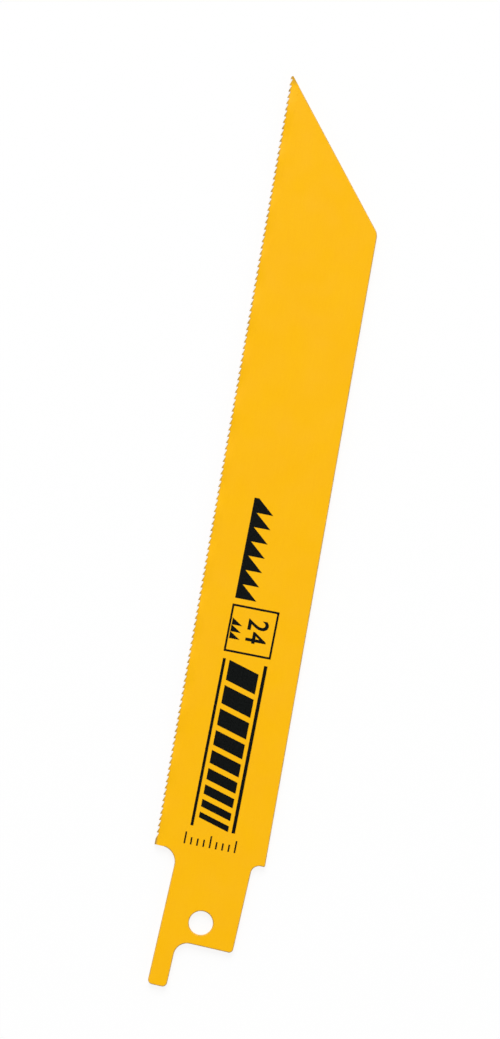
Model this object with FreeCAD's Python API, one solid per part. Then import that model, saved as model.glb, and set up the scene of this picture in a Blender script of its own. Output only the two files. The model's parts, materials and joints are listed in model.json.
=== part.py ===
import FreeCAD, Part
import math
import os

from FreeCAD import Vector

# A straight-backed reciprocating saw blade for metal, lying flat with its
# printed face up. Lengths are in millimetres and angles in degrees.
# The origin is the centre of the tang's pin hole, halfway through the strip.
# +X runs along the row of teeth to the point, +Y towards the teeth and
# +Z out of the printed face.

# Strip
thickness = 0.9
edge_break = 0.15  # bevel that blanking and tumbling leave along the rims

# Body
body_width = 18.7  # from the back to the tips of the teeth
body_offset = 0.5  # of the body's middle from the pin hole, towards the teeth
tip_reach = 141.2  # from the pin hole to the point, before it is rounded
point_radius = 0.2
nose_angle = 38.15  # between the nose and the row of teeth
nose_radius = 2.0  # where the nose turns into the back

# Teeth
inch = 25.4
teeth_per_inch = 24
tooth_depth = 0.36
point_land = 0.65  # from the tip of the first tooth on to the blade's point
gullet_radius = 0.12
set_height = 1.6  # of the strip along the teeth that the set bends
set_offset = 0.18  # of the tips to each side, at the crest of the wave
teeth_per_wave = 8

# Tang, measured along and across its own axis from the pin hole
tang_cant = 2.85  # between the tang and the row of teeth
tooth_shoulder_reach = 11.05
back_shoulder_reach = 11.4
tang_width = 12.68
tang_offset = 0.12  # of the tang's middle from the pin hole, towards the teeth
tang_end_reach = 3.74
tooth_shoulder_radius = 2.6
back_shoulder_radius = 1.4
back_corner_radius = 0.25
tang_corner_radius = 0.7
fillet_share = 0.9  # of a shoulder's height, the most that its fillet takes

# Finger that runs on past the tang's end, along its toothed side
finger_reach = 11.7
finger_width = 3.23
finger_root_radius = 2.25
finger_corner_radius = 0.8

# Pin hole
pin_hole_diameter = 4.0

# Worked out from the sizes above
tooth_line = body_offset + body_width / 2
back_line = body_offset - body_width / 2
set_line = tooth_line - set_height
tang_tooth_side = tang_offset + tang_width / 2
tang_back_side = tang_offset - tang_width / 2
tooth_pitch = inch / teeth_per_inch
half_thickness = thickness / 2
clear_of_blade = body_width  # how far cutting shapes stand past the blade
tolerance = 1e-6  # closer than this, two places are the same
up = Vector(0, 0, 1)


def on_tang(along, across):
    """Gives X and Y of the point this far along and across the tang."""
    cant = math.radians(tang_cant)
    x = along * math.cos(cant) + across * math.sin(cant)
    y = across * math.cos(cant) - along * math.sin(cant)
    return Vector(x, y, 0)


def on_shoulder(reach, y):
    """Gives the point at this Y on a shoulder, which runs square to the tang."""
    cant = math.radians(tang_cant)
    across = (y + reach * math.sin(cant)) / math.cos(cant)
    return on_tang(reach, across)


def rounded_path(corners):
    """Joins corners with straight edges and rounds each by its own radius."""
    edges = []
    start = corners[0][0]
    for (before, _), (corner, radius), (after, _) in zip(corners, corners[1:], corners[2:]):
        back = (before - corner).normalize()
        ahead = (after - corner).normalize()
        half_angle = back.getAngle(ahead) / 2
        inward = (back + ahead).normalize()
        centre = corner + inward * (radius / math.sin(half_angle))
        arc_start = corner + back * (radius / math.tan(half_angle))
        arc_end = corner + ahead * (radius / math.tan(half_angle))
        edges.append(Part.LineSegment(start, arc_start).toShape())
        edges.append(Part.Arc(arc_start, centre - inward * radius, arc_end).toShape())
        start = arc_end
    edges.append(Part.LineSegment(start, corners[-1][0]).toShape())
    return edges


def plain_edges(first_tip, shoulder):
    """The outline without its teeth: point, nose, back, tang and finger."""
    point = first_tip + Vector(point_land, point_land * math.tan(tooth_slope()), 0)
    nose_run = (point.y - back_line) / math.tan(math.radians(nose_angle))
    finger_side = tang_tooth_side - finger_width
    back_corner = on_shoulder(back_shoulder_reach, back_line)
    back_root = on_tang(back_shoulder_reach, tang_back_side)
    tooth_root = on_tang(tooth_shoulder_reach, tang_tooth_side)
    back_room = fillet_share * ((back_corner - back_root).Length - back_corner_radius)
    tooth_room = fillet_share * (shoulder - tooth_root).Length
    return rounded_path([
        (first_tip, 0),
        (point, point_radius),
        (Vector(point.x - nose_run, back_line, 0), nose_radius),
        (back_corner, back_corner_radius),
        (back_root, min(back_shoulder_radius, back_room)),
        (on_tang(-tang_end_reach, tang_back_side), tang_corner_radius),
        (on_tang(-tang_end_reach, finger_side), finger_root_radius),
        (on_tang(-finger_reach, finger_side), finger_corner_radius),
        (on_tang(-finger_reach, tang_tooth_side), finger_corner_radius),
        (tooth_root, min(tooth_shoulder_radius, tooth_room)),
        (shoulder, 0),
    ])


def tooth_slope():
    """The slope of a tooth's back, which starts at its tip and ends in a gullet."""
    across = tooth_pitch - gullet_radius
    down = gullet_radius - tooth_depth
    to_centre = math.hypot(across, down)
    return math.atan2(down, across) - math.asin(gullet_radius / to_centre)


def tooth_edges(tip):
    """One tooth: its upright face, its round gullet and the slope to the next tip."""
    next_tip = tip - Vector(tooth_pitch, 0, 0)
    centre = tip - Vector(gullet_radius, tooth_depth - gullet_radius, 0)
    slope = tooth_slope()
    face_foot = centre + Vector(gullet_radius, 0, 0)
    gullet_floor = centre - Vector(0, gullet_radius, 0)
    slope_foot = centre + Vector(math.sin(slope), -math.cos(slope), 0) * gullet_radius
    return [
        Part.LineSegment(tip, face_foot).toShape(),
        Part.Arc(face_foot, gullet_floor, slope_foot).toShape(),
        Part.LineSegment(slope_foot, next_tip).toShape(),
    ]


def blade_outline():
    """The whole outline seen from above. Every tooth cuts on the pull stroke."""
    first_tip = Vector(tip_reach - point_land, tooth_line, 0)
    shoulder = on_shoulder(tooth_shoulder_reach, tooth_line)
    tooth_count = math.floor((first_tip - shoulder).Length / tooth_pitch)
    edges = plain_edges(first_tip, shoulder)
    for number in range(tooth_count):
        edges += tooth_edges(first_tip - Vector(number * tooth_pitch, 0, 0))
    last_tip = first_tip - Vector(tooth_count * tooth_pitch, 0, 0)
    edges.append(Part.LineSegment(last_tip, shoulder).toShape())
    return Part.Wire(Part.sortEdges(edges)[0])


def wave_stations():
    """X and bend, from -1 to 1, at each quarter of the set's wave, past both ends of it."""
    quarter_wave = teeth_per_wave * tooth_pitch / 4
    first = -math.ceil((tip_reach - tooth_shoulder_reach + clear_of_blade) / quarter_wave)
    last = math.ceil(clear_of_blade / quarter_wave)
    numbers = range(first, last + 1)
    return [(tip_reach + n * quarter_wave, math.sin(n * math.pi / 2)) for n in numbers]


def flat_strip():
    """The flat strip, from past the back up to the line where the set begins."""
    set_points = [Vector(x, set_line, -half_thickness) for x, _ in wave_stations()]
    low_y = back_line - clear_of_blade
    low_x = -finger_reach - clear_of_blade
    far_corners = [
        Vector(set_points[-1].x, low_y, -half_thickness),
        Vector(low_x, low_y, -half_thickness),
        Vector(low_x, set_line, -half_thickness),
    ]
    outline = Part.makePolygon([*set_points, *far_corners, set_points[0]])
    return Part.Face(outline).extrude(up * thickness)


def wave_strip():
    """The strip along the teeth, which leaves the flat smoothly and bends to each side in turn."""
    overshoot = (set_height + tooth_depth) / set_height
    outer_line = set_line + set_height * overshoot
    middle_line = (set_line + outer_line) / 2
    swing = set_offset * overshoot ** 2
    crest = Part.BSplineCurve()
    crest.interpolate([Vector(x, outer_line, swing * bend) for x, bend in wave_stations()])
    rows = []
    for pole in crest.getPoles():
        rows.append([Vector(pole.x, set_line, 0), Vector(pole.x, middle_line, 0), pole])
    bent = Part.BSplineSurface()
    bent.buildFromPolesMultsKnots(rows, crest.getMultiplicities(), [3, 3],
                                  crest.getKnots(), [0, 1], False, False, crest.Degree, 2)
    underside = bent.toShape()
    underside.translate(-up * half_thickness)
    return underside.extrude(up * thickness)


def pin_hole():
    """The round hole that the saw's clamp pin drops through."""
    depth = thickness + 2 * clear_of_blade
    return Part.makeCylinder(pin_hole_diameter / 2, depth, Vector(0, 0, -depth / 2))


def plain_rims(solid):
    """The rims of both faces: nose, back, tang, finger and hole, not the set line."""
    rims = []
    for edge in solid.Edges:
        middle = edge.valueAt((edge.FirstParameter + edge.LastParameter) / 2)
        points = [vertex.Point for vertex in edge.Vertexes] + [middle]
        on_face = all(abs(abs(point.z) - half_thickness) < tolerance for point in points)
        if on_face and middle.y < set_line - tolerance:
            rims.append(edge)
    return rims


def blade():
    """Trims flat strip and bent strip to the outline and joins them as one solid."""
    outline = Part.Face(blade_outline())
    outline.translate(-up * clear_of_blade)
    trimmer = outline.extrude(up * 2 * clear_of_blade).cut(pin_hole())
    body = trimmer.common(flat_strip()).Solids[0]
    body = body.makeChamfer(edge_break, plain_rims(body))
    toothed_edge = trimmer.common(wave_strip())
    return body.fuse(toothed_edge).Solids[0]


os.makedirs("parts", exist_ok=True)
blade().exportStep("parts/blade.step")
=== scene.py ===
# %% [markdown]
# A reciprocating saw blade lies flat on a white table, seen from straight above. It is one strip
# of steel: a toothed body with a slanted nose at one end, and at the other a notched tang with a
# hole for the pin of the saw. The solid comes from the CAD model, so this lesson never moves it or
# changes its mesh. What is left to make is the finish: the yellow coating, the black print, the
# light and the view. We load the solid first, and keep its box, because nothing may grow past it.

import json
import math

import bmesh
import bpy
from mathutils import Matrix, Vector


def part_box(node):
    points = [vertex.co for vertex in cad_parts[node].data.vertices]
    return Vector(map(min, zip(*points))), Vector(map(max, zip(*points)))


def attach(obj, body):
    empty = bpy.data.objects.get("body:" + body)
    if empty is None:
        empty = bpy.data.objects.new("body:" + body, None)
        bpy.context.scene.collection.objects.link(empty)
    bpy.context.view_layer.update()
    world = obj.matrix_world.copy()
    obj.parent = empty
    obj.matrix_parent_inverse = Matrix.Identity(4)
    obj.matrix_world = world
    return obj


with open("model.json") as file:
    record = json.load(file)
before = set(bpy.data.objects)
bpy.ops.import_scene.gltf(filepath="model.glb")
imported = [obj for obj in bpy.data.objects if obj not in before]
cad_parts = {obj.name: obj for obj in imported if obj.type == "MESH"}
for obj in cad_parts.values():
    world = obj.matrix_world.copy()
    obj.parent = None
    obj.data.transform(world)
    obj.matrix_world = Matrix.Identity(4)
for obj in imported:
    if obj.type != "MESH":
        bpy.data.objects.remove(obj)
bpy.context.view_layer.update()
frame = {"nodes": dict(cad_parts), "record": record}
blade = frame["nodes"]["blade"]

# %% [markdown]
# The frame of the blade has its origin at the centre of the pin hole, half way through the steel.
# X runs along the blade to the point, Y runs across to the teeth, and Z comes out of the printed
# face. Blender counts in metres, but a blade is drawn in millimetres, so one value turns one into
# the other. The height of the flat face isn't the top of the box, because the wave of the teeth
# stands a little higher. The record has a mount on that face, and its place gives the height.

# %% Measure the blade
MM = 0.001
mount_places = {mount["name"]: mount["pos_m"] for mount in frame["record"]["mounts"]}
face_height = mount_places["tang_top_face"][2]
lowest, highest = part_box("blade")
tooth_edge = highest.y
sharp_point = highest.x
resting_height = lowest.z
print("flat face at", round(face_height / MM, 3), "mm, wave up to", round(highest.z / MM, 3), "mm")

# %% [markdown]
# Colours are easiest to read from a picture as sRGB hex values, the numbers that a paint program
# shows. A renderer adds up light, so it needs them linear. One function turns one into the other.

# %% Turn a hex colour into a linear one
def linear(hex_colour):
    channels = [int(hex_colour[start:start + 2], 16) / 255 for start in (1, 3, 5)]
    straight = [c / 12.92 if c <= 0.04045 else ((c + 0.055) / 1.055) ** 2.4 for c in channels]
    return (*straight, 1.0)


print("#FFC204 is", [round(value, 3) for value in linear("#FFC204")])

# %% [markdown]
# A material in Blender is a small graph of nodes. Each node is made in the same way: choose its
# type, set a few values, and join its inputs to the outputs of other nodes. One short function does
# these three things, so each material below reads as a list of what is done to the surface.

# %% Add a node with its settings and links
def add_node(graph, kind, settings=None, inputs=None, links=None):
    node = graph.nodes.new(kind)
    for name, value in (settings or {}).items():
        setattr(node, name, value)
    for name, value in (inputs or {}).items():
        node.inputs[name].default_value = value
    for name, source in (links or {}).items():
        graph.links.new(source, node.inputs[name])
    return node


def empty_material(name):
    material = bpy.data.materials.new(name)
    material.use_nodes = True
    material.node_tree.nodes.clear()
    return material, material.node_tree


# %% [markdown]
# Every pattern below has a real size. The object coordinates of a piece are its places in the
# frame, in metres, so multiplying them by 1000 gives millimetres. A noise with a scale of
# 1 / size then has grains of that size in millimetres, whatever piece it is on. Its values lie
# between 0 and 1, most of them near the middle. Spread over a wide range of them, a pattern stays
# soft, and over a narrow one it gets firmer spots, so three ranges are named for use below.

# %% Patterns measured in millimetres
WHOLE_NOISE = (0.1, 0.9)
MOST_OF_NOISE = (0.2, 0.8)
MIDDLE_OF_NOISE = (0.3, 0.7)


def millimetre_coordinates(graph, stretch=(1, 1, 1)):
    place = add_node(graph, "ShaderNodeTexCoord")
    per_metre = [value / MM for value in stretch]
    return add_node(graph, "ShaderNodeVectorMath", {"operation": "MULTIPLY"}, {1: per_metre},
                    {0: place.outputs["Object"]}).outputs["Vector"]


def grain(graph, size, detail=2.0, stretch=(1, 1, 1)):
    return add_node(graph, "ShaderNodeTexNoise", None, {"Scale": 1 / size, "Detail": detail},
                    {"Vector": millimetre_coordinates(graph, stretch)}).outputs["Fac"]


def from_to(graph, value, start, end, low, high):
    return add_node(graph, "ShaderNodeMapRange", None,
                    {"From Min": start, "From Max": end, "To Min": low, "To Max": high},
                    {"Value": value}).outputs["Result"]


# %% [markdown]
# Two small steps come back in the materials: to combine two numbers, and to mix two colours. Each
# takes a fixed value as well as the output of a node, so that a material needn't tell them apart.

# %% Combine numbers and mix colours
def calculate(graph, operation, first, second):
    sockets = {0: first, 1: second}
    numbers = {place: value for place, value in sockets.items() if isinstance(value, float)}
    links = {place: value for place, value in sockets.items() if place not in numbers}
    return add_node(graph, "ShaderNodeMath", {"operation": operation}, numbers, links).outputs[0]


def mixed_colour(graph, amount, first, second):
    mix = add_node(graph, "ShaderNodeMix", {"data_type": "RGBA"})
    graph.links.new(amount, mix.inputs["Factor"])
    for socket, colour in ((mix.inputs["A"], first), (mix.inputs["B"], second)):
        if isinstance(colour, tuple):
            socket.default_value = colour
        else:
            graph.links.new(colour, socket)
    return mix.outputs["Result"]


# %% [markdown]
# The coating is a stoved enamel: the strip was ground, toothed and hardened, then sprayed yellow
# and baked. It could be one flat colour, and it would look like plastic. Real enamel gives the eye
# four small things. The film has a slight orange peel, which breaks up its soft shine. Fine lines
# from grinding the strip run lengthwise and show faintly through it. Its colour drifts a little
# from place to place. And it draws back from edges while it is baked, so the bevels round the
# outline, the points of the teeth and the sharp end of the nose are covered thinly, and look
# browner. On the bevels and the tooth points that browner colour is also painted shade: it is made
# darker than thin film alone, as the shade of rounded rims and tooth faces.

# %% Colours and sizes of the enamel
ENAMEL_YELLOW = linear("#FFC204")
ENAMEL_DEEPER = linear("#F9B102")
# browner colour of thin enamel, made darker still as painted shade of rounded edges and tooth
# points
ENAMEL_THIN_AND_SHADED = linear("#A08248")
ENAMEL_IOR = 1.5
ENAMEL_ROUGHNESS = 0.33
GLOSSIER_BY = 0.06          # how far the roughness drifts down from there, and up
DULLER_BY = 0.08
ORANGE_PEEL = 0.6           # mm from one swelling of the film to the next
PEEL_HEIGHT = 0.007         # mm
GRINDING_LINE = 0.12        # mm between grinding lines
GRINDING_RUN = 25.0         # times longer than they are apart
GRINDING_DEPTH = 0.003      # mm, as much as the film lets through
COLOUR_DRIFT = 9.0          # mm across a patch of slightly deeper yellow
PIGMENT_GRAIN = 0.3         # mm, drawn coarser than real pigment so that it can show at all
DEEPER_IN_PATCHES = 0.4     # how much of the deeper yellow each pattern adds at most
DEEPER_IN_PIGMENT = 0.25
DEEPER_IN_LINES = 0.3
print("enamel roughness", ENAMEL_ROUGHNESS, "with orange peel every", ORANGE_PEEL, "mm")

# %% [markdown]
# Where the film is thin can be read from the shape itself. A surface whose normal points half up
# and half sideways is a bevel: the walls point sideways and the two faces point straight up or
# down. The teeth and the sharp end are found by their place. On the bevels and the teeth the colour
# is painted shade as well as thin film, the same on every bevel whichever way it faces. A slow
# noise along the edges then breaks up the result, because no spray thins out evenly.

# %% Where the enamel is thin, with painted edge shade
WALLS_UP_TO = (0.5, 0.65)   # upright part of the normal
FACES_FROM = (0.76, 0.9)
THIN_AND_SHADED_ON_BEVELS = 0.75       # how much of the thin film's colour, with its painted shade, the bevels show
TOOTH_DEPTH = 0.36          # mm from a tooth's point to its gullet
THINS_BEFORE = 0.1          # mm before the gullets, where the thin film and its painted shade begin
THINNEST_PAST = 0.2         # mm past the gullets, where the thin film and its painted shade are full
THIN_NOSE = 1.5             # mm of the sharp end where the film thins out
ROUGH_EDGE = 0.8            # mm from one thin spot along an edge to the next
THIN_AT_LEAST = 0.45        # share of the thin, painted-shade colour between those spots


def thin_film_and_painted_edge_shade(graph):
    surface = add_node(graph, "ShaderNodeNewGeometry")
    facing = add_node(graph, "ShaderNodeSeparateXYZ", links={0: surface.outputs["True Normal"]})
    upright = calculate(graph, "ABSOLUTE", facing.outputs["Z"], 0.0)
    past_wall = from_to(graph, upright, *WALLS_UP_TO, 0.0, THIN_AND_SHADED_ON_BEVELS)
    short_of_face = from_to(graph, upright, *reversed(FACES_FROM), 0.0, 1.0)
    # painted shade with the thin film: every bevel, whichever way it faces, takes the darker colour
    thin_and_shaded_bevel = calculate(graph, "MULTIPLY", past_wall, short_of_face)
    place = add_node(graph, "ShaderNodeSeparateXYZ", links={0: millimetre_coordinates(graph)})
    gullets = tooth_edge / MM - TOOTH_DEPTH
    # painted shade with the thin film: the tooth points darken towards and past the gullets
    points = from_to(graph, place.outputs["Y"], gullets - THINS_BEFORE, gullets + THINNEST_PAST,
                     0.0, 1.0)
    nose_from = sharp_point / MM - THIN_NOSE
    nose = from_to(graph, place.outputs["X"], nose_from, nose_from + THIN_NOSE, 0.0, 1.0)
    thin_and_shaded_tips = calculate(graph, "MAXIMUM", points, nose)
    spots = grain(graph, ROUGH_EDGE, 3.0)
    rough_edge = from_to(graph, spots, *MIDDLE_OF_NOISE, THIN_AT_LEAST, 1.0)
    return calculate(graph, "MULTIPLY", calculate(graph, "MAXIMUM", thin_and_shaded_bevel, thin_and_shaded_tips), rough_edge)


# %% [markdown]
# Now the enamel itself. Its colour is built up in layers, each pattern mixed over the one before.
# The peel and the grinding lines could be real relief, but they are less than a hundredth of a
# millimetre high, so a bump is enough: it leaves the shape alone and only tilts the reflections.

# %% Stoved yellow enamel
def stoved_enamel():
    material, graph = empty_material("stoved_enamel_yellow")
    lines = grain(graph, GRINDING_LINE, 1.0, (1 / GRINDING_RUN, 1, 1))
    drift = from_to(graph, grain(graph, COLOUR_DRIFT), *WHOLE_NOISE, 0.0, DEEPER_IN_PATCHES)
    specks = grain(graph, PIGMENT_GRAIN)
    pigment = from_to(graph, specks, *MOST_OF_NOISE, 0.0, DEEPER_IN_PIGMENT)
    through_film = from_to(graph, lines, *MOST_OF_NOISE, 0.0, DEEPER_IN_LINES)
    patches = mixed_colour(graph, drift, ENAMEL_YELLOW, ENAMEL_DEEPER)
    flecked = mixed_colour(graph, pigment, patches, ENAMEL_DEEPER)
    streaked = mixed_colour(graph, through_film, flecked, ENAMEL_DEEPER)
    # bevels and tooth points take the darker colour: thin enamel with painted shade
    colour = mixed_colour(graph, thin_film_and_painted_edge_shade(graph), streaked, ENAMEL_THIN_AND_SHADED)
    peel = add_node(graph, "ShaderNodeBump", None, {"Strength": 1.0, "Distance": PEEL_HEIGHT * MM},
                    {"Height": grain(graph, ORANGE_PEEL)})
    ground = add_node(graph, "ShaderNodeBump", None,
                      {"Strength": 1.0, "Distance": GRINDING_DEPTH * MM},
                      {"Height": lines, "Normal": peel.outputs["Normal"]})
    shine = from_to(graph, grain(graph, COLOUR_DRIFT / 2), *WHOLE_NOISE,
                    ENAMEL_ROUGHNESS - GLOSSIER_BY, ENAMEL_ROUGHNESS + DULLER_BY)
    paint = add_node(graph, "ShaderNodeBsdfPrincipled", None, {"Metallic": 0.0, "IOR": ENAMEL_IOR},
                     {"Base Color": colour, "Roughness": shine,
                      "Normal": ground.outputs["Normal"]})
    add_node(graph, "ShaderNodeOutputMaterial", links={"Surface": paint.outputs["BSDF"]})
    return material


enamel = stoved_enamel()
for slot in blade.material_slots:
    slot.material = enamel
print(enamel.name, "has", len(enamel.node_tree.nodes), "nodes")

# %% [markdown]
# The print is pad printing: a soft pad lifts a film of black epoxy ink from an etched plate and
# presses it on the enamel. The ink is a few thousandths of a millimetre thick, dense black, and
# about as glossy as the coating under it. It shows a fine grain where the pad let go of it.

# %% Black pad-printing ink
INK_BLACK = linear("#050807")
INK_WORN = linear("#0E1110")
INK_IOR = 1.5
INK_ROUGHNESS = 0.3
INK_UNEVEN = 0.04           # how far the roughness goes up and down
INK_GRAIN = 0.25            # mm, drawn coarser than a real ink film's grain so that it shows
INK_RELIEF = 0.002          # mm
WORN_SPOTS = (0.45, 0.75)   # the part of the noise where the ink looks worn
WORN_AT_MOST = 0.6


def pad_printed_ink():
    material, graph = empty_material("pad_printed_ink_black")
    speckle = grain(graph, INK_GRAIN)
    worn = from_to(graph, speckle, *WORN_SPOTS, 0.0, WORN_AT_MOST)
    colour = mixed_colour(graph, worn, INK_BLACK, INK_WORN)
    relief = add_node(graph, "ShaderNodeBump", None, {"Strength": 1.0, "Distance": INK_RELIEF * MM},
                      {"Height": speckle})
    shine = from_to(graph, speckle, *MIDDLE_OF_NOISE,
                    INK_ROUGHNESS - INK_UNEVEN, INK_ROUGHNESS + INK_UNEVEN)
    film = add_node(graph, "ShaderNodeBsdfPrincipled", None, {"Metallic": 0.0, "IOR": INK_IOR},
                    {"Base Color": colour, "Roughness": shine, "Normal": relief.outputs["Normal"]})
    add_node(graph, "ShaderNodeOutputMaterial", links={"Surface": film.outputs["BSDF"]})
    return material


ink = pad_printed_ink()
print(ink.name, "has", len(ink.node_tree.nodes), "nodes")

# %% [markdown]
# A printed mark could be a picture laid on the steel, but then it would have no edge of its own.
# Here each mark is a very thin slab. Its outline is a list of corners in millimetres, and the slab
# starts just inside the coating and ends just above it, so the two surfaces never lie in the same
# place. Outlines that touch are joined first, so that no wall is left between them.

# %% Press an outline onto the blade
INK_RISE = 0.02             # mm above the coating, thicker than real ink so that it renders cleanly
INK_SINK = 0.005            # mm into the coating
PRINT_TURN = math.radians(-1.0)     # the print isn't quite in line with the teeth
PRINT_PIVOT = (44.0, 0.0)   # mm
WELD = 1e-4                 # mm, corners closer than this are one


def turned(x, y):
    along, across = x - PRINT_PIVOT[0], y - PRINT_PIVOT[1]
    return (PRINT_PIVOT[0] + along * math.cos(PRINT_TURN) - across * math.sin(PRINT_TURN),
            PRINT_PIVOT[1] + along * math.sin(PRINT_TURN) + across * math.cos(PRINT_TURN))


def print_mark(name, outlines):
    shape = bmesh.new()
    top = face_height + INK_RISE * MM
    for outline in outlines:
        places = [turned(x, y) for x, y in outline]
        shape.faces.new([shape.verts.new((x * MM, y * MM, top)) for x, y in places])
    bmesh.ops.remove_doubles(shape, verts=shape.verts, dist=WELD * MM)
    sunk = bmesh.ops.extrude_face_region(shape, geom=shape.faces[:])
    lower = [part for part in sunk["geom"] if isinstance(part, bmesh.types.BMVert)]
    bmesh.ops.translate(shape, vec=(0, 0, -(INK_RISE + INK_SINK) * MM), verts=lower)
    bmesh.ops.recalc_face_normals(shape, faces=shape.faces)
    mesh = bpy.data.meshes.new(name)
    shape.to_mesh(mesh)
    shape.free()
    return press_on(bpy.data.objects.new(name, mesh))


def press_on(mark):
    bpy.context.scene.collection.objects.link(mark)
    mark.data.materials.append(ink)
    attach(mark, "root")
    print(mark.name, "has", len(mark.data.polygons), "faces")
    return mark


# %% [markdown]
# The print reads from the point towards the tang, with the top of each mark towards the back edge.
# So reading goes along minus X, and up is minus Y. To draw in reading direction, a mark is given
# as a distance along and a distance up from its own corner, and one function turns that round.

# %% Draw in the reading direction
def reading(corner, along_and_up):
    return [(corner[0] - along, corner[1] - up) for along, up in along_and_up]


def bar(low, high):
    return [(low[0], low[1]), (high[0], low[1]), (high[0], high[1]), (low[0], high[1])]


# %% [markdown]
# The first mark is a little picture of what the blade is for: a strip with a row of saw teeth. It
# could be drawn as one long outline, but each tooth is the same, so a loop places a slanted
# triangle for each one, and one bar below joins them.

# %% A band of printed saw teeth
BAND_CORNER = (71.0, 4.03)  # mm, where the band starts, at its foot
BAND_LENGTH = 16.9          # mm
BAND_HEIGHT = 3.6           # mm
BAND_STRIP = 0.8            # mm, the bar under the teeth
BAND_TEETH = 7
band_pitch = BAND_LENGTH / BAND_TEETH
band = []
for number in range(BAND_TEETH):
    start = number * band_pitch
    end = start + band_pitch
    band.append(reading(BAND_CORNER, [(start, 0), (end, 0), (end, BAND_STRIP),
                                      (start, BAND_STRIP)]))
    band.append(reading(BAND_CORNER, [(start, BAND_STRIP), (end, BAND_STRIP),
                                      (end, BAND_HEIGHT)]))
print_mark("print_tooth_band", band)

# %% [markdown]
# Next to it is a square frame of a thin line, which holds the number of teeth per inch. A frame is
# four bars with mitred ends, like a picture frame, so that their corners meet exactly.

# %% A thin frame for the number
FRAME_LOW = (45.1, -3.71)   # mm
FRAME_HIGH = (53.08, 4.23)  # mm
FRAME_LINE = 0.34           # mm


def thin_frame(low, high, line):
    outer = bar(low, high)
    inner = bar((low[0] + line, low[1] + line), (high[0] - line, high[1] - line))
    sides = range(4)
    return [[outer[i], outer[(i + 1) % 4], inner[(i + 1) % 4], inner[i]] for i in sides]


print_mark("print_number_frame", thin_frame(FRAME_LOW, FRAME_HIGH, FRAME_LINE))

# %% [markdown]
# The number could be drawn by hand, but a font gives even strokes. Blender's own plain font makes
# a text object, and its flat faces become outlines for the same thin slab as the other marks. The
# real digits are bolder than that font, so every corner of their outline is moved out, just as far
# as takes both edges beside it the same small way. A text object has a setting for bolder strokes
# too, but it closes the hole of the 4. Last of all the digits are fitted into their rectangle.

# %% The number of teeth per inch
NUMBER = "24"
NUMBER_CORNER = (51.15, 1.05)   # mm, where the number starts, at its foot
NUMBER_LENGTH = 4.0             # mm
NUMBER_HEIGHT = 3.45            # mm
DIGIT_SPACE = 1.06              # of the font's own space between two digits
CURVE_STEPS = 8                 # straight pieces to each curve of the font
STROKE_SWELL = 0.013            # of the font's line height, to each side of a stroke
NEAR_CORNERS = 0.004            # of the line height, corners of the font that count as one


def swell_strokes(digits):
    moves = []
    for corner in digits.verts:
        outward = []
        for edge in (edge for edge in corner.link_edges if edge.is_boundary):
            start, end = (vertex.co for vertex in edge.verts)
            across = (end - start).normalized().cross(Vector((0, 0, 1)))
            inside = edge.link_faces[0].calc_center_median() - start
            outward.append(-across if across.dot(inside) > 0 else across)
        share = STROKE_SWELL / (1 + outward[0].dot(outward[1]))
        moves.append((corner, (outward[0] + outward[1]) * share))
    for corner, move in moves:
        corner.co += move


def letter_faces(words):
    text = bpy.data.curves.new("number_shape", "FONT")
    text.body = words
    text.resolution_u = CURVE_STEPS
    text.space_character = DIGIT_SPACE
    holder = bpy.data.objects.new("number_shape", text)
    digits = bmesh.new()
    digits.from_mesh(bpy.data.meshes.new_from_object(holder))
    bpy.data.objects.remove(holder)
    bmesh.ops.remove_doubles(digits, verts=digits.verts, dist=NEAR_CORNERS)
    swell_strokes(digits)
    faces = [[tuple(vertex.co.xy) for vertex in face.verts] for face in digits.faces]
    digits.free()
    return faces


def fit_faces(faces, length, height):
    across = [x for face in faces for x, y in face]
    upward = [y for face in faces for x, y in face]
    stretch = length / (max(across) - min(across))
    grow = height / (max(upward) - min(upward))
    return [[((x - min(across)) * stretch, (y - min(upward)) * grow) for x, y in face]
            for face in faces]


number_faces = fit_faces(letter_faces(NUMBER), NUMBER_LENGTH, NUMBER_HEIGHT)
print_mark("print_number", [reading(NUMBER_CORNER, face) for face in number_faces])

# %% [markdown]
# Under the number, three small teeth say what is counted, without a word.

# %% Three small teeth under the number
SMALL_CORNER = (50.8, 3.75)     # mm
SMALL_PITCH = 1.15              # mm
SMALL_HEIGHT = 1.8              # mm
SMALL_COUNT = 3
small_teeth = []
for number in range(SMALL_COUNT):
    start = SMALL_PITCH * number
    end = SMALL_PITCH * (number + 1)
    small_teeth.append(reading(SMALL_CORNER, [(start, 0), (end, 0), (end, SMALL_HEIGHT)]))
print_mark("print_small_teeth", small_teeth)

# %% [markdown]
# The largest mark is a block of slanted bars between two thin rules. A rule is only a long narrow
# rectangle, and the one nearer the back edge is a little wider than the other.

# %% Two rules
RULE_START = 43.9               # mm
RULE_END = 15.65                # mm
RULES = ((-3.17, 0.58), (3.82, 0.48))   # mm, the middle and the width of each
for number, (middle, width) in enumerate(RULES):
    low = (RULE_END, middle - width / 2)
    high = (RULE_START, middle + width / 2)
    print_mark("print_rule_" + str(number), [bar(low, high)])

# %% [markdown]
# The bars could be nine outlines measured one by one, but they shrink evenly towards the tang:
# each is narrower than the one before by the same amount, and the gaps stay the same. The whole
# length, the slant, the gap and the shrinking are measured, and the first width follows from them.

# %% Slanted bars
BARS_CORNER = (43.8, 2.93)      # mm
BARS_LENGTH = 28.1              # mm
BARS_HEIGHT = 5.2               # mm
BARS_SLANT = 1.5                # mm that the top of a bar leans forward
BAR_GAP = 0.9                   # mm
BAR_COUNT = 9
SHRINK = 0.3                    # mm that each bar is narrower than the one before

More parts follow.
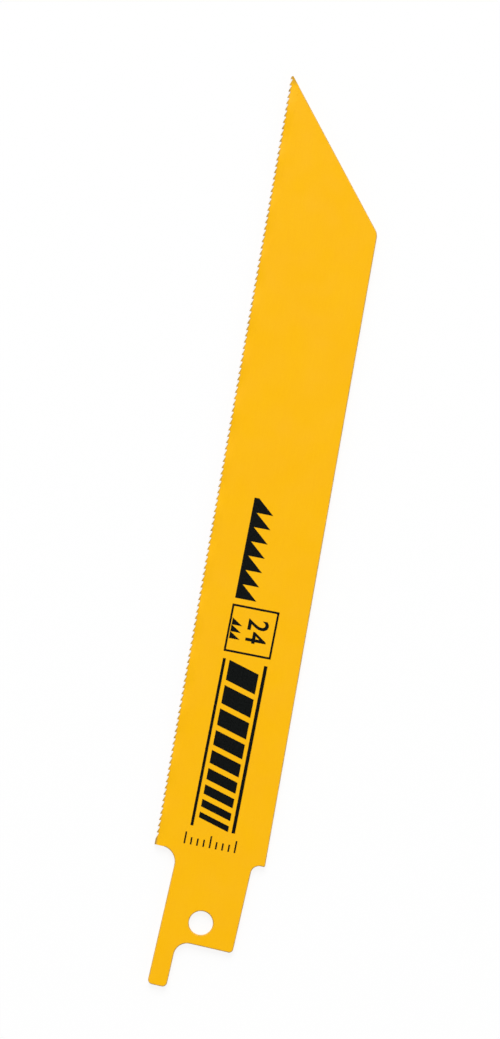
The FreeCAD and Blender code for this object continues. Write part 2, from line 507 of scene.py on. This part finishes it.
room_for_bars = BARS_LENGTH - BARS_SLANT - BAR_GAP * (BAR_COUNT - 1)
first_width = room_for_bars / BAR_COUNT + SHRINK * (BAR_COUNT - 1) / 2
bars = []
start = 0.0
for number in range(BAR_COUNT):
    end = start + first_width - SHRINK * number
    bars.append(reading(BARS_CORNER, [(start, 0), (end, 0), (end + BARS_SLANT, BARS_HEIGHT),
                                      (start + BARS_SLANT, BARS_HEIGHT)]))
    start = end + BAR_GAP
print("bars from", round(first_width, 2), "mm down to", round(end - start + BAR_GAP, 2), "mm")
print_mark("print_bars", bars)

# %% [markdown]
# The last mark stands across the blade beside the tang: a short scale whose ticks are as far apart
# as the real teeth, 24 to the inch. Every fourth tick is longer, like the numbered ones on a ruler.

# %% A scale at the pitch of the teeth
INCH = 25.4                     # mm
tick_pitch = INCH / int(NUMBER)
TICK_COUNT = 9
TICK_WIDTH = 0.26               # mm
TICK_FOOT = 12.5                # mm along the blade
LONG_TICK = 2.0                 # mm
LONG_EVERY = 4                  # ticks
SHORT_TICK = 1.2                # mm
SCALE_MIDDLE = 0.25             # mm, across the blade

ticks = []
for number in range(TICK_COUNT):
    middle = SCALE_MIDDLE + (number - (TICK_COUNT - 1) / 2) * tick_pitch
    reach = LONG_TICK if number % LONG_EVERY == 0 else SHORT_TICK
    low = (TICK_FOOT, middle - TICK_WIDTH / 2)
    high = (TICK_FOOT + reach, middle + TICK_WIDTH / 2)
    ticks.append(bar(low, high))
print_mark("print_pitch_scale", ticks)

# %% [markdown]
# The blade lies on a white table. In the photograph the white is even, with hardly any shadow. If
# that white came from strong light, the yellow would be too bright. So the table is matt white
# laminate for light that the blade sees, while a ray that comes from the camera finds it mostly as
# plain white, with a small part of the lit surface mixed in, which keeps the shadow.

# %% Matt white laminate for the table
TABLE_WHITE = linear("#FAFAFA")
TABLE_ROUGHNESS = 0.9
TABLE_SPECULAR = 0.2            # less than the usual 0.5, because the laminate is matt
TABLE_SIZE = 6.0                # m
BACKDROP_WHITE = linear("#FFFFFF")
SHARE_OF_PLAIN_WHITE = 0.88


def seen_straight(graph):
    ray = add_node(graph, "ShaderNodeLightPath").outputs
    return calculate(graph, "MAXIMUM", ray["Is Camera Ray"], ray["Is Transmission Ray"])


def seen_or_mirrored(graph):
    mirrored = add_node(graph, "ShaderNodeLightPath").outputs["Is Glossy Ray"]
    return calculate(graph, "MAXIMUM", seen_straight(graph), mirrored)


def white_laminate():
    material, graph = empty_material("matt_white_laminate")
    lit = add_node(graph, "ShaderNodeBsdfPrincipled", None,
                   {"Base Color": TABLE_WHITE, "Roughness": TABLE_ROUGHNESS,
                    "Specular IOR Level": TABLE_SPECULAR})
    plain = add_node(graph, "ShaderNodeEmission", None,
                     {"Color": BACKDROP_WHITE, "Strength": 1.0})
    amount = calculate(graph, "MULTIPLY", seen_or_mirrored(graph), SHARE_OF_PLAIN_WHITE)
    mix = add_node(graph, "ShaderNodeMixShader",
                   links={0: amount, 1: lit.outputs["BSDF"], 2: plain.outputs["Emission"]})
    add_node(graph, "ShaderNodeOutputMaterial", links={"Surface": mix.outputs["Shader"]})
    return material


table_mesh = bpy.data.meshes.new("table_top")
half = TABLE_SIZE / 2
table_mesh.from_pydata([(-half, -half, 0), (half, -half, 0), (half, half, 0), (-half, half, 0)],
                       [], [(0, 1, 2, 3)])
table_top = bpy.data.objects.new("table_top", table_mesh)
table_top.location.z = resting_height
bpy.context.scene.collection.objects.link(table_top)
table_top.data.materials.append(white_laminate())
print("table at", round(resting_height / MM, 3), "mm")

# %% [markdown]
# The light is that of a copy stand: a bright room all round, a dark patch straight overhead where
# the camera hangs, and one large soft lamp from the point's side. The dark patch matters. A
# glossy film seen from above mirrors what is straight overhead, and a white ceiling there would
# lay a grey veil over the yellow. The camera itself sees plain white.

# %% The room round the table
ROOM_LIGHT = 1.03               # strength of the walls
OVERHEAD_SHARE = 0.04           # of that light, straight overhead
OVERHEAD_SPREAD = (0.45, 0.8)   # height of the ray where the dark patch begins and where it is full

world = bpy.data.worlds.new("copy_stand_room")
bpy.context.scene.world = world
world.use_nodes = True
room = world.node_tree
room.nodes.clear()
direction = add_node(room, "ShaderNodeTexCoord").outputs["Generated"]
ray_height = add_node(room, "ShaderNodeSeparateXYZ", links={0: direction}).outputs["Z"]
share = from_to(room, ray_height, *OVERHEAD_SPREAD, 1.0, OVERHEAD_SHARE)
walls = add_node(room, "ShaderNodeBackground", None, {"Color": BACKDROP_WHITE},
                 {"Strength": calculate(room, "MULTIPLY", share, ROOM_LIGHT)})
backdrop = add_node(room, "ShaderNodeBackground", None, {"Color": BACKDROP_WHITE},
                    {"Strength": calculate(room, "MAXIMUM", share, seen_straight(room))})
room_mix = add_node(room, "ShaderNodeMixShader",
                    links={0: seen_or_mirrored(room), 1: walls.outputs["Background"],
                           2: backdrop.outputs["Background"]})
add_node(room, "ShaderNodeOutputWorld", links={"Surface": room_mix.outputs["Shader"]})
print("room light", ROOM_LIGHT, "and", round(ROOM_LIGHT * OVERHEAD_SHARE, 3), "overhead")

# %% [markdown]
# The photograph was taken from straight above, with the blade turned so that its point is at the
# top and leans ten degrees to the right. The turn, the place of the pin hole in the picture and the
# scale were measured there. They give the camera's place: its right and its up direction come from
# the turn, and its height from the scale and a long lens, which keeps the outline free of
# perspective, as in the photograph.

# %% The camera
PICTURE_WIDTH = 500             # pixels
PICTURE_HEIGHT = 1039           # pixels
HOLE_IN_PICTURE = (200.8, 923.2)    # pixels from the left and from the top
PIXELS_PER_MM = 6.03
LEAN = math.radians(10.08)
LENS = 135.0                    # mm
SENSOR = 36.0                   # mm, on the long side of the picture

right = Vector((math.sin(LEAN), -math.cos(LEAN), 0))
upward = Vector((math.cos(LEAN), math.sin(LEAN), 0))
to_right = (PICTURE_WIDTH / 2 - HOLE_IN_PICTURE[0]) / PIXELS_PER_MM * MM
to_top = (HOLE_IN_PICTURE[1] - PICTURE_HEIGHT / 2) / PIXELS_PER_MM * MM
aim = right * to_right + upward * to_top + Vector((0, 0, face_height))
picture_height = PICTURE_HEIGHT / PIXELS_PER_MM * MM
distance = picture_height * LENS / SENSOR

camera = bpy.data.objects.new("camera", bpy.data.cameras.new("camera"))
camera.data.lens = LENS
camera.data.sensor_width = SENSOR
camera.data.sensor_fit = "AUTO"
turn = Matrix((right, upward, Vector((0, 0, 1)))).transposed()
camera.matrix_world = Matrix.Translation(aim + Vector((0, 0, distance))) @ turn.to_4x4()
bpy.context.scene.collection.objects.link(camera)
bpy.context.scene.camera = camera
print("camera", round(distance / MM), "mm above the blade")

# %% [markdown]
# One large lamp stands beyond the point. It lights the edges that face it and leaves those that
# face away a little darker, so the tang, the hole and the gullets of the teeth can be read. It is
# far off, because a near lamp would make one end of the blade brighter than the other.

# %% The lamp
LAMP_DISTANCE = 4.5             # m
LAMP_HEIGHT = math.radians(42)  # above the table, seen from the blade
LAMP_SIZE = 2.7                 # m
LAMP_SHARE = 0.66               # of the light that falls on the flat face

towards_lamp = upward * math.cos(LAMP_HEIGHT) + Vector((0, 0, math.sin(LAMP_HEIGHT)))
lamp_data = bpy.data.lights.new("soft_lamp", "AREA")
lamp_data.shape = "SQUARE"
lamp_data.size = LAMP_SIZE
# A square lamp of P watts lights a far surface with P / (pi * distance squared), less by the slant,
# and light of the strength pi makes a matt white surface show as plain white.
lamp_data.energy = LAMP_SHARE * math.pi ** 2 * LAMP_DISTANCE ** 2 / math.sin(LAMP_HEIGHT)
lamp = bpy.data.objects.new("soft_lamp", lamp_data)
lamp.location = aim + towards_lamp * LAMP_DISTANCE
lamp.rotation_euler = towards_lamp.to_track_quat("Z", "Y").to_euler()
bpy.context.scene.collection.objects.link(lamp)
print("lamp of", round(lamp_data.energy), "W")

# %% [markdown]
# The last step sets the plain way of showing colours, so that a colour comes out as it was
# written.

# %% Show colours plainly
bpy.context.scene.view_settings.view_transform = "Standard"
